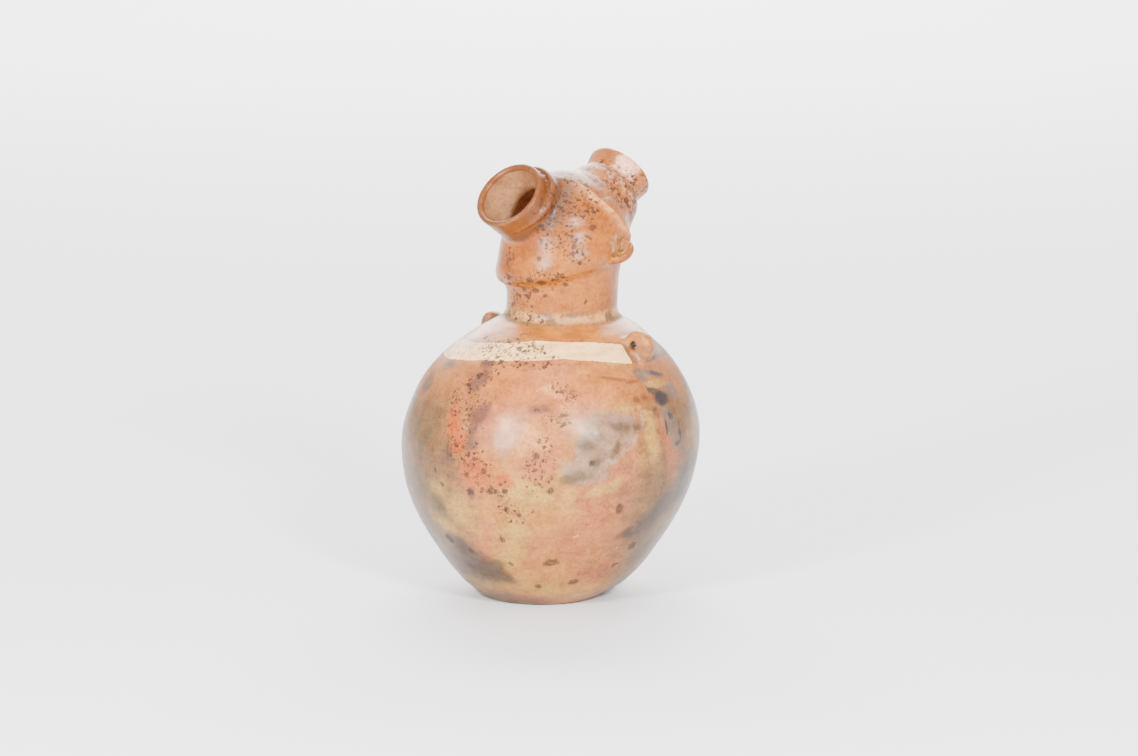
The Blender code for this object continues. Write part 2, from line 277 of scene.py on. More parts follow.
# degrees off the rear spout's axis, and degrees round from the ear for where it ends, bends and fades
hood = {
    "angle": 66.5, "angleAtEar": 63.5, "bend": 35,
    "end": -14, "endBefore": 8, "endAfter": 10, "fadeFrom": 62, "fadeTo": 88, "fadeBy": 0.75,
    "height": 0.0029, "frontSlope": 0.0050, "backSlope": 0.0012,
}
ears = {
    "lift": 58, "place": (0.0412, 0.0072, 0.0010), "depth": 0.0077,
    "outline": [(0.0040, 0.0000), (0.0078, 0.0013), (0.0100, 0.0035), (0.0107, 0.0057), (0.0103, 0.0073),
                (0.0094, 0.0079), (0.0084, 0.0073), (0.0074, 0.0059), (0.0045, 0.0047)],
}
discs = {
    # name: turn from the front, reach and height of its middle, and how far out and up its hole lies
    "places": {"leftDisc": (93, 0.0685, 0.1742, -0.0026, 0.0012),
               "rightDisc": (-98.5, 0.0662, 0.1716, 0.0018, 0.0)},
    "radius": 0.0110, "thickness": 0.0082, "rounding": 0.0026,
    "holeRadius": 0.0023, "holeLength": 0.70,        # half length, as a share of the thickness
    "flare": 0.55, "flareDepth": 0.0016, "flareMost": 0.0026,
}
# how wide the join of each form is with what it grows from
joins = {
    "rearCup": 0.0045, "collar": 0.0030, "mouthCup": 0.0020, "roll": 0.0022, "ear": 0.0016,
    "disc": 0.0046, "discHole": 0.0005, "mouthBore": 0.009, "rearBore": 0.005, "rim": 0.0014,
}
handWork = {
    "waves": [(0.00030, 0.024, 3), (0.00012, 0.008, 5)],        # depth, size and seed
    # shallow dents: turn from the front, height, reach and depth
    "dents": [(21.5, 0.1235, 0.0040, 0.00018), (17, 0.1270, 0.0070, 0.00022),
              (62, 0.0890, 0.0070, 0.00030), (-20, 0.1400, 0.0080, 0.00035),
              (-150, 0.1200, 0.0100, 0.00040), (150, 0.0750, 0.0090, 0.00040)],
}
# how the mesh is made, in metres, apart from rounds, shares and degrees
surface = {
    "headFrom": 0.190, "discsFrom": 0.150,        # nothing of the head or the discs lies lower
    "probe": 0.0004, "flattest": 0.25, "longestMove": 0.002, "settleRounds": 3, "lastRounds": 2,
    "merge": 0.00002, "voxel": 0.0021, "evenRounds": 3, "evenKeep": 0.5,
    "drillFrom": 0.0023, "drillTo": 0.0041, "drillCore": 0.0005,
    "skin": 0.0022, "thinSkin": 0.0010,
    "fineAbove": 0.205, "fineInMouth": 0.030, "fineInRear": 0.036,
    "crease": 0.0020, "creaseAbove": 0.2, "rollCrease": 1.4, "hoodPastEnd": 6,
    "deepFrom": 0.0015, "spoutReach": 0.016, "insideKept": 0.22,
    "plainBelow": 0.150, "plainKept": 0.50,
}


# how far the clay leans at a height, along X and Y
def leanAt(height):
    turn = math.radians(pot["leanTurn"])
    shift = np.interp(height, pot["leanHeights"], pot["leanShifts"])
    return shift * math.cos(turn), shift * math.sin(turn)


def leaningPoint(height):
    return np.array([*leanAt(height), height])


def crownOutline(inward):
    radius, rise = pot["crownRadius"] - inward, pot["crownRise"] - inward
    turns = np.linspace(0, math.pi / 2 - pot["crownStop"], pot["crownSteps"])
    return [(radius * math.cos(turn), pot["crownHeight"] + rise * math.sin(turn)) for turn in turns]


def potOutline():
    body = smoothLine(pot["bodyOutline"], 5)
    crown = crownOutline(0)
    upper = smoothLine(pot["neckOutline"] + pot["jawOutline"] + crown[:3], 4)
    return np.vstack([body, upper, crown[3:]])


def hollowOutline():
    body = np.array(pot["bodyOutline"][3:-2])
    along = body[2:] - body[:-2]
    along /= np.linalg.norm(along, axis=1)[:, None]
    inside = body[1:-1] + pot["wall"] * np.stack([-along[:, 1], along[:, 0]], 1)
    neckRadius = pot["neckOutline"][1][0] - pot["wall"]
    shoulder, neck = inside[-1], np.array([neckRadius, pot["hollowNeck"]])
    rows = np.vstack([[inside[0, 0] - 2 * pot["wall"], pot["floor"]], inside,
                      shoulder * 0.5 + neck * 0.5, shoulder * 0.2 + neck * 0.8,
                      neck + (0, pot["hollowBend"]), [neckRadius, pot["hollowNeckTop"]]])
    return np.vstack([smoothLine(rows, 4), crownOutline(pot["wall"])])


sideways, upward = np.array([1.0, 0, 0]), np.array([0, 0, 1.0])
headCentre = leaningPoint(headHeight)
mouthCentre = headCentre + sideways * mouth["sidestep"]
rearCentre = headCentre + sideways * rearSpout["sidestep"]
mouthAxis, rearAxis = directionAt(0, mouth["lift"]), directionAt(180, rearSpout["lift"])
aboveMouth, aboveRear = np.cross(mouthAxis, sideways), np.cross(sideways, rearAxis)
earAxis = directionAt(0, ears["lift"])
earPlaces = [headCentre + ears["place"] * np.array([side, 1, 1]) for side in (1, -1)]
jawLine = smoothLine(list(zip(jaw["turns"], jaw["rises"])), 6)
bodyProfile = np.array(pot["bodyOutline"])
tables = {
    "pot": turnedTable(potOutline(), tableGrid["potStep"]),
    "hollow": turnedTable(hollowOutline(), tableGrid["potStep"]),
}
for name, outline in (("mouthCup", mouth["cup"]), ("mouthCollar", mouth["collar"]),
                      ("mouthBore", mouth["bore"]), ("rearCup", rearSpout["cup"]),
                      ("rearBore", rearSpout["bore"]), ("ear", ears["outline"])):
    tables[name] = turnedTable(smoothLine(outline, 5), tableGrid["fineStep"])


# turn from the front in radians, radius and height, with the lean taken out
def potCoordinates(points):
    shiftX, shiftY = leanAt(points[:, 2])
    across, forward = points[:, 0] - shiftX, shiftY - points[:, 1]
    return np.arctan2(across, forward), np.hypot(across, forward), points[:, 2]


def jawRise(turn):
    return np.interp(np.degrees(turn), jawLine[:, 0], jawLine[:, 1])


def potField(points):
    turn, radius, height = potCoordinates(points)
    rise = jawRise(turn)
    below = np.clip((height - jaw["foot"]) / (jaw["edge"] + rise - jaw["foot"]), 0, 1)
    above = np.clip((jaw["top"] - height) / (jaw["top"] - jaw["edge"] - jaw["above"] - rise), 0, 1)
    height = height - rise * below * above
    atBack = ease(np.degrees(np.abs(turn)), *jaw["fadeTurns"])
    radius = radius + jaw["fade"] * hill(height, *jaw["fadeBand"]) * atBack
    return readTable(tables["pot"], radius, height)


# distance in front of the hood's edge, and how far round it from the ear, in degrees
def hoodCoordinates(points):
    offset = points - headCentre
    reach = np.linalg.norm(offset, axis=1)
    off = np.degrees(np.arccos(np.clip(offset @ rearAxis / reach, -1, 1)))
    around = np.degrees(np.arctan2(offset @ aboveRear, np.abs(offset[:, 0])))
    bent = ease(around, hood["end"], hood["bend"])
    angle = hood["angleAtEar"] + (hood["angle"] - hood["angleAtEar"]) * bent
    return np.radians(off - angle) * reach, around


def hoodRelief(points):
    front, around = hoodCoordinates(points)
    strength = ease(around, hood["end"] - hood["endBefore"], hood["end"] + hood["endAfter"])
    strength = strength * (1 - hood["fadeBy"] * ease(around, hood["fadeFrom"], hood["fadeTo"]))
    slope = np.where(front > 0, hood["frontSlope"], hood["backSlope"])
    ridge = hood["height"] * np.exp(-(front / slope) ** 2)
    return strength * ridge


# out from the body, up, and along the hole, from the middle of a disc
def discCoordinates(points, turn, reach, height):
    outward = directionAt(turn, 0)
    offset = points - (outward * reach + leaningPoint(height))
    return offset @ outward, offset[:, 2], np.abs(offset @ directionAt(turn + 90, 0))


def discField(points, turn, reach, height, holeOut, holeUp):
    out, up, thick = discCoordinates(points, turn, reach, height)
    halfThick = discs["thickness"] / 2
    pastEdge = np.hypot(out, up) - discs["radius"] + discs["rounding"]
    pastFace = thick - halfThick + discs["rounding"]
    solid = (np.hypot(np.maximum(pastEdge, 0), np.maximum(pastFace, 0))
             + np.minimum(np.maximum(pastEdge, pastFace), 0) - discs["rounding"])
    flare = np.clip(thick - halfThick + discs["flareDepth"], 0, discs["flareMost"]) * discs["flare"]
    hole = np.maximum(np.hypot(out - holeOut, up - holeUp) - discs["holeRadius"] - flare,
                      thick - discs["holeLength"] * discs["thickness"])
    return solid, hole


# distance from the roll round the mouth's collar
def rollField(points, collarCentre):
    offset = points - collarCentre
    along = offset @ mouthAxis
    out = np.linalg.norm(offset - along[:, None] * mouthAxis, axis=1)
    above = (offset @ (aboveMouth + mouth["rollSide"] * sideways)) / np.maximum(out, 0.001)
    grown = (1 - mouth["rollThinnest"]) * ease(above, *mouth["rollGrows"])
    thick = mouth["rollThickness"] * (mouth["rollThinnest"] + grown)
    return np.hypot(out - mouth["rollRadius"], along - mouth["rollAlong"]) - thick


def outerField(points):
    field = potField(points)
    upper = points[:, 2] > surface["headFrom"]
    high = points[upper]
    collarCentre = mouthCentre + aboveMouth * mouth["collarRaise"]
    rearCup = turnedField(tables["rearCup"], high, rearCentre, rearAxis)
    part = joinSoft(field[upper], rearCup, joins["rearCup"]) - hoodRelief(high)
    collar = turnedField(tables["mouthCollar"], high, collarCentre, mouthAxis)
    part = joinSoft(part, collar, joins["collar"])
    mouthCup = turnedField(tables["mouthCup"], high, mouthCentre, mouthAxis)
    part = joinSoft(part, mouthCup, joins["mouthCup"])
    part = joinSoft(part, rollField(high, collarCentre), joins["roll"])
    for place in earPlaces:
        ear = turnedField(tables["ear"], high, place - earAxis * ears["depth"], earAxis)
        part = joinSoft(part, ear, joins["ear"])
    field[upper] = part
    near = points[:, 2] > surface["discsFrom"]
    part = field[near]
    for place in discs["places"].values():
        solid, hole = discField(points[near], *place)
        part = cutSoft(joinSoft(part, solid, joins["disc"]), hole, joins["discHole"])
    field[near] = part
    return field


def hollowField(points):
    return readTable(tables["hollow"], *potCoordinates(points)[1:])


def innerField(points):
    field = hollowField(points)
    upper = points[:, 2] > surface["headFrom"]
    high = points[upper]
    mouthBore = turnedField(tables["mouthBore"], high, mouthCentre, mouthAxis)
    rearBore = turnedField(tables["rearBore"], high, rearCentre, rearAxis)
    part = joinSoft(field[upper], mouthBore, joins["mouthBore"])
    field[upper] = joinSoft(part, rearBore, joins["rearBore"])
    return field


def clayField(points):
    outer = outerField(points)
    for depth, size, seed in handWork["waves"]:
        outer += depth * roughness3d(points, size, seed)
    for turn, height, reach, depth in handWork["dents"]:
        radius = np.interp(height, bodyProfile[:, 1], bodyProfile[:, 0])
        place = directionAt(turn, 0) * radius + leaningPoint(height)
        outer += depth * np.exp(-((points - place) ** 2).sum(1) / reach ** 2)
    outer = np.maximum(outer, floorHeight - points[:, 2])
    return cutSoft(outer, innerField(points), joins["rim"])


def slopeOf(points):
    corners = np.array([(1, 1, 1), (1, -1, -1), (-1, 1, -1), (-1, -1, 1)], float)
    reach = surface["probe"]
    return sum(corner * clayField(points + corner * reach)[:, None] for corner in corners) / (4 * reach)


# move points along the slope until they lie on the clay
def settle(points, rounds):
    for _ in range(rounds):
        slope = slopeOf(points)
        steep = np.maximum((slope ** 2).sum(1), surface["flattest"])
        move = np.clip(clayField(points) / steep, -surface["longestMove"], surface["longestMove"])
        points = points - slope * move[:, None]
    return points


# slide points towards the middle of their neighbours
def spreadEvenly(points, edges, rounds, keep):
    count = np.bincount(edges.ravel(), minlength=len(points))[:, None]
    for _ in range(rounds):
        total = np.zeros_like(points)
        for axis in range(3):
            total[:, axis] = (np.bincount(edges[:, 0], points[edges[:, 1], axis], len(points))
                              + np.bincount(edges[:, 1], points[edges[:, 0], axis], len(points)))
        points = points * keep + total / count * (1 - keep)
        points = settle(points, 1)
    return points


def meshPoints(mesh):
    points = np.empty(len(mesh.vertices) * 3)
    mesh.vertices.foreach_get("co", points)
    return points.reshape(-1, 3)


def setMeshPoints(mesh, points):
    mesh.vertices.foreach_set("co", points.ravel())
    mesh.update()


def settleMesh(mesh, rounds):
    setMeshPoints(mesh, settle(meshPoints(mesh), rounds))


def meshEdges(mesh):
    edges = np.empty(len(mesh.edges) * 2, int)
    mesh.edges.foreach_get("vertices", edges)
    return edges.reshape(-1, 2)


# replace an object's mesh by what its modifiers make of it
def applyModifiers(obj):
    evaluated = obj.evaluated_get(bpy.context.evaluated_depsgraph_get())
    mesh = bpy.data.meshes.new_from_object(evaluated)
    obj.modifiers.clear()
    obj.data = mesh


# how far a point lies along the mouth and along the rear spout
def alongSpouts(points):
    return (points - mouthCentre) @ mouthAxis, (points - rearCentre) @ rearAxis


def onSkin(points, within):
    return np.abs(outerField(points)) < within


# true well inside the hollow, where no light falls through a spout
def deepInside(points):
    inMouth, inRear = alongSpouts(points)
    return ((hollowField(points) < surface["deepFrom"]) & (inMouth < surface["spoutReach"])
            & (inRear < surface["spoutReach"]))


# true where the head and the spouts show small forms
def finePart(points):
    inMouth, inRear = alongSpouts(points)
    small = onSkin(points, surface["skin"]) | (inMouth > surface["fineInMouth"])
    return (points[:, 2] > surface["fineAbove"]) & (small | (inRear > surface["fineInRear"]))


# true at the hood's edge, the jaw's edge and the collar
def nearCrease(points):
    front, around = hoodCoordinates(points)
    atHood = (np.abs(front) < surface["crease"]) & (around > hood["end"] - surface["hoodPastEnd"])
    turn, _, height = potCoordinates(points)
    atJaw = np.abs(height - jawRise(turn) - jaw["edge"]) < surface["crease"]
    inMouth = alongSpouts(points)[0]
    atRoll = np.abs(inMouth - mouth["rollAlong"]) < surface["crease"] * surface["rollCrease"]
    crease = (atHood | atJaw | atRoll) & (points[:, 2] > surface["creaseAbove"])
    return crease & onSkin(points, surface["thinSkin"])


# true on the body, where nothing finer than a wave shows
def plainPart(points):
    return onSkin(points, surface["thinSkin"]) & (points[:, 2] < surface["plainBelow"])


# widen the holes of the discs for the even mesh, which settling then draws back to size
def openDiscHoles(points):
    for turn, reach, height, holeOut, holeUp in discs["places"].values():
        outward = directionAt(turn, 0)
        out, up, thick = discCoordinates(points, turn, reach, height)
        wide = np.hypot(out, up)
        near = (wide < surface["drillFrom"]) & (thick < discs["thickness"])
        push = np.where(near, surface["drillTo"] / np.maximum(wide, surface["drillCore"]) - 1, 0)
        points += (near * holeOut)[:, None] * outward
        points[:, 2] += near * holeUp
        points += (out * push)[:, None] * outward + (up * push)[:, None] * upward
    return points


# thin the chosen part to about the share kept
def thin(vessel, choose, kept):
    chosen = choose(meshPoints(vessel.data))
    group = vessel.vertex_groups.new(name="thinned")
    group.add(np.flatnonzero(chosen).tolist(), 1.0, "REPLACE")
    modifier = vessel.modifiers.new("thin", "DECIMATE")
    modifier.ratio = 1 - 2 * int(chosen.sum()) * (1 - kept) / len(vessel.data.polygons)
    modifier.vertex_group = "thinned"
    applyModifiers(vessel)
    vessel.vertex_groups.clear()


# halve the edges of the chosen part and lay the new points on the clay
def refine(vessel, chosen):
    shape = bmesh.new()
    shape.from_mesh(vessel.data)
    edges = [edge for edge in shape.edges if chosen[edge.verts[0].index] and chosen[edge.verts[1].index]]
    bmesh.ops.subdivide_edges(shape, edges=edges, cuts=1, use_grid_fill=True)
    bmesh.ops.triangulate(shape, faces=shape.faces)
    shape.to_mesh(vessel.data)
    shape.free()
    settleMesh(vessel.data, surface["settleRounds"])


def modelVessel():
    shape = bmesh.new()
    shape.from_mesh(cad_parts["vessel"].data)
    bmesh.ops.remove_doubles(shape, verts=shape.verts, dist=surface["merge"])
    mesh = bpy.data.meshes.new("vesselClay")
    shape.to_mesh(mesh)
    shape.free()
    setMeshPoints(mesh, openDiscHoles(meshPoints(mesh)))
    vessel = bpy.data.objects.new("vesselClay", mesh)
    bpy.context.collection.objects.link(vessel)
    remesh = vessel.modifiers.new("even", "REMESH")
    remesh.mode = "VOXEL"
    remesh.voxel_size = surface["voxel"]
    applyModifiers(vessel)
    points = settle(meshPoints(vessel.data), surface["settleRounds"])
    points = spreadEvenly(points, meshEdges(vessel.data), surface["evenRounds"], surface["evenKeep"])
    setMeshPoints(vessel.data, points)
    refine(vessel, finePart(points))
    refine(vessel, nearCrease(meshPoints(vessel.data)))
    thin(vessel, deepInside, surface["insideKept"])
    thin(vessel, plainPart, surface["plainKept"])
    settleMesh(vessel.data, surface["lastRounds"])
    vessel.data.shade_smooth()
    return vessel


vesselClay = modelVessel()
print("vessel modelled:", len(vesselClay.data.polygons), "triangles")

# Where each colour lies: turn from the front in degrees, height, half width and half height in mm, and
# where it is tilted, by how many degrees.
zones = {
    # the front and back, where the painted shade on the body's sides does not reach
    "clearOfSideShade": [(41, 120, 78, 60), (40, 62, 66, 56), (30, 165, 60, 14), (45, 16, 50, 22), (-150, 130, 80, 50),
        (-170, 60, 60, 50)],
    "ochre": [(36, 86, 27, 15), (28, 55, 14, 25), (47, 101, 14, 10), (21, 38, 11, 16), (85, 122, 6, 24),
        (62, 90, 22, 8, 15), (48, 16, 34, 9), (-6, 84, 13, 13), (4, 72, 17, 14), (8, 18, 30, 11),
        (-10, 58, 13, 16), (125, 110, 30, 20), (-125, 60, 36, 24, 10), (-170, 95, 30, 26)],
    "orange": [(13, 101, 22, 16), (2, 116, 11, 12), (25, 95, 10, 9), (-2, 127, 9, 14), (-95, 110, 30, 34),
        (175, 60, 34, 24)],
    "salmon": [(54, 52, 28, 23, -12), (2, 152, 17, 13), (68, 30, 22, 10), (94, 112, 14, 32, 5),
        (-110, 150, 26, 14), (150, 140, 30, 16)],
    # pale patches, partly painted highlight where the lamps' gloss falls on the body
    "paleAndPaintedHighlight": [(23, 131, 14, 13), (46, 141, 13, 7), (34, 122, 17, 14), (40, 150, 14, 5), (-170, 130, 24, 18)],
    # olive patches: partly the clay's own patina, partly painted shade along the body's left and right
    # edges
    "olive": [(-33, 146, 10, 8), (-17, 111, 6, 15, 12), (-24, 123, 6, 10), (-31, 92, 8, 20),
        (-9, 72, 11, 14), (-22, 84, 14, 18), (14, 33, 9, 9), (-48, 112, 14, 46), (-24, 160, 12, 5, 10),
        (112, 88, 12, 22), (128, 130, 18, 26), (-150, 70, 34, 24, 20)],
    "smoke": [(61, 118, 31, 18, 48), (61, 131, 15, 8, 15), (70, 128, 16, 15), (52, 105, 16, 11)],
    "smokeStreak": [(76, 121, 7, 3.4, 62), (70, 113, 8, 3.0, 45), (64, 108, 5, 3.4), (59, 126, 3, 7, 20),
        (80, 131, 2.5, 9)],
    "smokeDark": [(55, 119, 6.5, 5.4), (60, 124, 4.2, 3.4), (66.5, 115, 8, 3.2, 52), (51, 99, 11, 5, 12),
        (58, 108, 5, 4), (77, 127, 3.5, 5), (70, 129, 9, 4, -20)],
    "lilac": [(71, 135, 14, 8, -10), (62, 113, 8, 5)],
    "slate": [(94.5, 143, 9, 5.4, -8), (90, 149, 6, 3.4, -30), (105, 167, 5, 3)],
    "slateTail": [(94.5, 133, 6.5, 6), (96, 124, 7.5, 10, -4), (98, 114, 7.5, 6.5), (103, 146, 10, 6),
        (96, 157.5, 12, 2.4, -14), (87, 158, 7, 4.4, -30)],
    "slateCore": [(94, 143, 7.5, 4.8, -8), (96.5, 131, 3, 4), (101, 119, 1.7, 9, -8), (98, 112, 5, 2.2, 10),
        (92.5, 124, 1.5, 9, -4), (97, 157.5, 9, 1.6, -14), (88, 137, 2.6, 2.4)],
    "char": [(93, 65, 31, 14, 50), (108, 82, 22, 20, 50), (80, 52, 10, 7), (3, 33, 27, 18, -46),
        (12, 24, 11, 10, -30), (-4, 46, 12, 10), (-9, 47.5, 7, 5), (18, 21, 9, 6, -30),
        (160, 80, 40, 26, 15), (-90, 70, 26, 30, -15), (-140, 40, 22, 14), (-160, 168, 26, 8)],
    # grey patches: partly the clay's own patina, partly painted shade towards the body's left and right
    # edges
    "grey": [(-28, 50, 25, 24), (-42, 82, 20, 38), (-14, 26, 22, 18), (122, 100, 16, 30), (10, 0, 46, 9),
        (-98.5, 170, 18, 15), (100, 40, 20, 16), (-100, 30, 30, 14)],
    "purple": [(1, 163, 6, 4.6), (4, 152, 6.5, 9, -20), (9, 127, 6.5, 13), (10, 117, 9, 5.5),
        (-2, 107, 5, 8.6, 20), (12, 138, 4, 9), (10, 86, 3, 2.8), (36, 141, 5, 3)],
    "yellow": [(94.5, 151.6, 13, 2.6, -3), (83, 134, 5, 4.6), (74, 140.5, 15, 1.8, -5), (76, 168, 9, 3.2)],
    "redLine": [(71, 158.3, 16, 1.5, -10), (80, 155.2, 7, 1.4), (84, 146, 5, 3), (79, 145, 4, 3)],
    "specks": [(4, 174, 34, 9), (10, 176, 20, 7), (3, 161, 15, 16), (2, 138, 20, 22), (4, 118, 20, 20),
        (12, 104, 20, 16), (38, 108, 10, 26), (28, 74, 16, 11, -20), (34, 168, 18, 10), (46, 150, 10, 9),
        (44, 138, 12, 8), (14, 216, 34, 9, 4), (-6, 203, 20, 14), (6, 190, 24, 5), (34, 254, 17, 30),
        (50, 238, 14, 11), (-14, 230, 10, 10), (24, 88, 14, 9), (60, 262, 22, 12), (-170, 150, 26, 20),
        (150, 266, 30, 26), (70, 276, 16, 14)],
    "marks": [(44, 37, 5.4, 3.0, 14), (37.5, 18, 2.7, 1.8), (58, 21, 4.2, 2.2, 8), (23, 34, 2.4, 2.8),
        (22.5, 54, 2.0, 3.0, 20), (16, 101, 2.6, 2.6), (13.5, 104.5, 1.9, 1.6), (36, 112.5, 2.4, 2.2),
        (38, 108, 1.4, 2.0), (32, 98, 2.0, 1.7), (42.5, 99, 1.8, 1.7), (42, 90, 2.9, 2.5),
        (19, 88, 4.2, 2.4), (15, 88.5, 1.5, 1.2), (15, 87, 1.5, 1.2), (10, 86, 3.0, 2.6),
        (35, 141, 1.6, 1.5), (46, 138, 3.4, 1.7, 8), (8.5, 97, 2.2, 1.9), (32, 68, 2.6, 2.0),
        (30, 72.5, 1.8, 1.6), (36, 76, 2.2, 1.7, 40), (25, 74, 1.4, 1.2), (45, 152, 1.8, 1.5),
        (38, 168, 1.8, 1.1, -30), (24, 177, 1.6, 1.0, 5), (31, 176, 1.5, 2.0), (-9, 47.5, 4.4, 3.2),
        (2, 43, 4.0, 2.4, -40), (80, 31, 5.0, 1.0, 20), (86, 44, 4.0, 3.0), (71, 74, 3.0, 4.0, 20),
        (-4, 88, 2.6, 2.2), (-7, 97, 1.8, 1.6), (57, 108, 2.6, 2.0, 30), (49, 236, 1.7, 1.6),
        (69, 252, 2.8, 2.2), (20, 232, 2.0, 1.8), (44, 249, 1.7, 1.5), (66, 203, 1.6, 2.0),
        (-12, 206, 2.2, 1.8), (50, 240, 1.4, 1.3), (30, 262, 1.7, 1.3), (12, 218, 3.0, 2.0, 10),
        (22, 216.5, 3.6, 2.0), (38, 221, 2.6, 1.5, 20), (14, 210.5, 3.0, 1.7), (4, 206, 2.2, 1.8),
        (44, 215, 1.8, 1.6), (0, 211, 1.9, 1.7), (24, 207, 1.8, 1.5)],
    "scratches": [(51, 55.2, 8.6, 0.36, 13), (54, 57.0, 5.5, 0.28, 20), (75, 43.5, 6.6, 0.32, 16),
        (12, 68, 1.0, 0.9), (40, 155, 0.9, 0.8), (34, 152, 0.8, 0.9)],
}
crispZones = ("marks", "scratches", "redLine", "yellow", "smokeStreak", "smokeDark", "slate", "slateTail",
              "slateCore")
# unevenness that moves the zones' edges, in mm: depth, size and seed, the seed moved on for the other way
zoneWarp = {"waves": [(5.0, 0.022, 21), (2.2, 0.008, 22)], "otherWay": 10, "crispShare": 0.15}
# A fade gives the turn where a paint is strongest, how far round its fading starts and ends, and by how
# much it fades.
band = {
    "lowerTurns": [-70, -30, 0, 20, 47, 63, 84, 100],
    "lower": [0.1622, 0.1634, 0.1672, 0.1690, 0.1704, 0.1688, 0.1652, 0.1640],
    "upperTurns": [-70, -26, 28, 59, 83, 100],
    "upper": [0.1722, 0.1742, 0.1801, 0.1795, 0.1765, 0.1750],
    "endLeft": 86, "endRight": -74, "waver": 0.0004, "waverSize": 0.012,
    "wear": 0.75, "wearTurns": (-14, 34),
    "shoulderStart": (0.0002, 0.0008), "shoulderEnd": (0.1868, 0.1880),
    "below": (0.034, 0.012, 0.0003), "belowFade": (30, 70, 120, 0.5),
    # the cream ring at the neck's foot is partly painted highlight on the fillet
    "ring": (0.1872, 0.1904, 0.1935, 0.1975), "ringFade": (20, 100, 150, 0.55),
}
# where each paint or deposit of the head starts and is full, or its middle and width; the pale line on the
# hood's edge is partly painted highlight, and the bright deep inside is painted light
headPaint = {
    "above": 0.2, "start": (0.1925, 0.1990), "deepPaintedLight": (0.030, 0.046),
    "onMouth": (0.038, 0.043), "mouthAbove": (0.235, 0.245),
    "hoodEdgePaleHighlight": (0.0010, 0.0030), "hoodRound": (-14, 0),
    "mound": (0.0005, 0.0030), "moundRound": (-20, -8), "moundAbove": 0.21,
    "bloom": (0.0400, 0.0042), "bloomAbove": (0.23, 0.24),
    "rearWash": (0.0565, 0.0600), "washRound": (8, 24, 56, 66),
    "earRaise": 0.002, "earDish": (0.005, 0.012),
    "earGrit": 0.8, "rearGrit": (0.0520, 0.009), "rearGritFrom": (0.026, 0.036),
}
discPaint = {"edge": (0.0006, 0.0026), "holeEdge": (0.0001, 0.0009), "holeFrom": -0.0008}


# largest value of any of a zone's blobs: 1 in the middle of one, 0 at its edge
def zoneField(turn, radius, height, warp, blobs):
    field = np.full(len(turn), -1.0)
    for blobTurn, blobHeight, wide, tall, *tilt in blobs:
        away = (np.degrees(turn) - blobTurn + 180) % 360 - 180
        across = np.radians(away) * radius * 1000 + warp[0]
        up = height * 1000 - blobHeight + warp[1]
        tilt = math.radians(tilt[0]) if tilt else 0
        along = across * math.cos(tilt) + up * math.sin(tilt)
        aside = up * math.cos(tilt) - across * math.sin(tilt)
        field = np.maximum(field, 1 - np.hypot(along / wide, aside / tall))
    return field


def bell(value, middle, width):
    return np.exp(-((value - middle) / width) ** 2)


def fadeRound(degrees, middle, start, end, amount):
    return 1 - amount * ease(np.abs(degrees - middle), start, end)


def zoneFields(points, turn, radius, height):
    warps = [sum(depth * roughness3d(points, size, seed + later) for depth, size, seed in zoneWarp["waves"])
             for later in (0, zoneWarp["otherWay"])]
    fields = {}
    for name, blobs in zones.items():
        share = zoneWarp["crispShare"] if name in crispZones else 1.0
        fields[name] = zoneField(turn, radius, height, [warp * share for warp in warps], blobs)
    return fields


def bandFields(points, degrees, radius, height):
    lower, upper = [np.interp(degrees, band[edge + "Turns"], band[edge])
                    + band["waver"] * roughness3d(points, band["waverSize"], seed)
                    for edge, seed in (("lower", 11), ("upper", 12))]
    ends = np.radians(np.minimum(band["endLeft"] - degrees, degrees - band["endRight"])) * radius
    foot, top = [upper + above for above in band["shoulderStart"]]
    underBand = hill(height, *[lower - below for below in band["below"]], lower)
    return {
        "bandInset": np.minimum(np.minimum(height - lower, upper - height), ends) * 1000,
        "bandWear": band["wear"] * ease(-degrees, *band["wearTurns"]),
        "shoulderPaint": hill(height, foot, top, *band["shoulderEnd"]),
        "underBand": underBand * fadeRound(degrees, *band["belowFade"]),
        "neckRingCreamAndHighlight": hill(height, *band["ring"]) * fadeRound(degrees, *band["ringFade"]),
    }


def headFields(points, height, inside):
    inMouth, inRear = alongSpouts(points)
    front, around = hoodCoordinates(points)
    onHead = height > headPaint["above"]
    # a pale line along the hood's edge, partly painted highlight on its crest
    hoodEdgePaleHighlight = bell(front, *headPaint["hoodEdgePaleHighlight"]) * ease(around, *headPaint["hoodRound"])
    mound = ease(-front, *headPaint["mound"]) * ease(around, *headPaint["moundRound"])
    rearTurn = np.degrees(np.arctan2((points - rearCentre) @ aboveRear, points[:, 0] - rearCentre[0]))
    rearGrit = ease(inRear, *headPaint["rearGritFrom"]) * bell(inRear, *headPaint["rearGrit"])
    earDish = np.zeros(len(points))
    for place in earPlaces:
        away = np.linalg.norm(points - (place + (0, 0, headPaint["earRaise"])), axis=1)
        earDish = np.maximum(earDish, 1 - ease(away, *headPaint["earDish"]))
    return {
        "headPaint": ease(height, *headPaint["start"]),
        # painted light: the hollow deep inside, away from the spouts, is brightened
        "deepPaintedLight": inside * (1 - ease(np.maximum(inMouth, inRear), *headPaint["deepPaintedLight"])),
        "onMouth": ease(inMouth, *headPaint["onMouth"]) * ease(height, *headPaint["mouthAbove"]),
        "hoodEdgePaleHighlight": hoodEdgePaleHighlight * onHead * (1 - inside),
        "mound": mound * (height > headPaint["moundAbove"]),
        "bloom": ease(height, *headPaint["bloomAbove"]) * bell(inMouth, *headPaint["bloom"]),
        "rearWash": hill(rearTurn, *headPaint["washRound"]) * ease(inRear, *headPaint["rearWash"]),
        "earDish": earDish,
        "grit": headPaint["earGrit"] * earDish * onHead + rearGrit,
    }


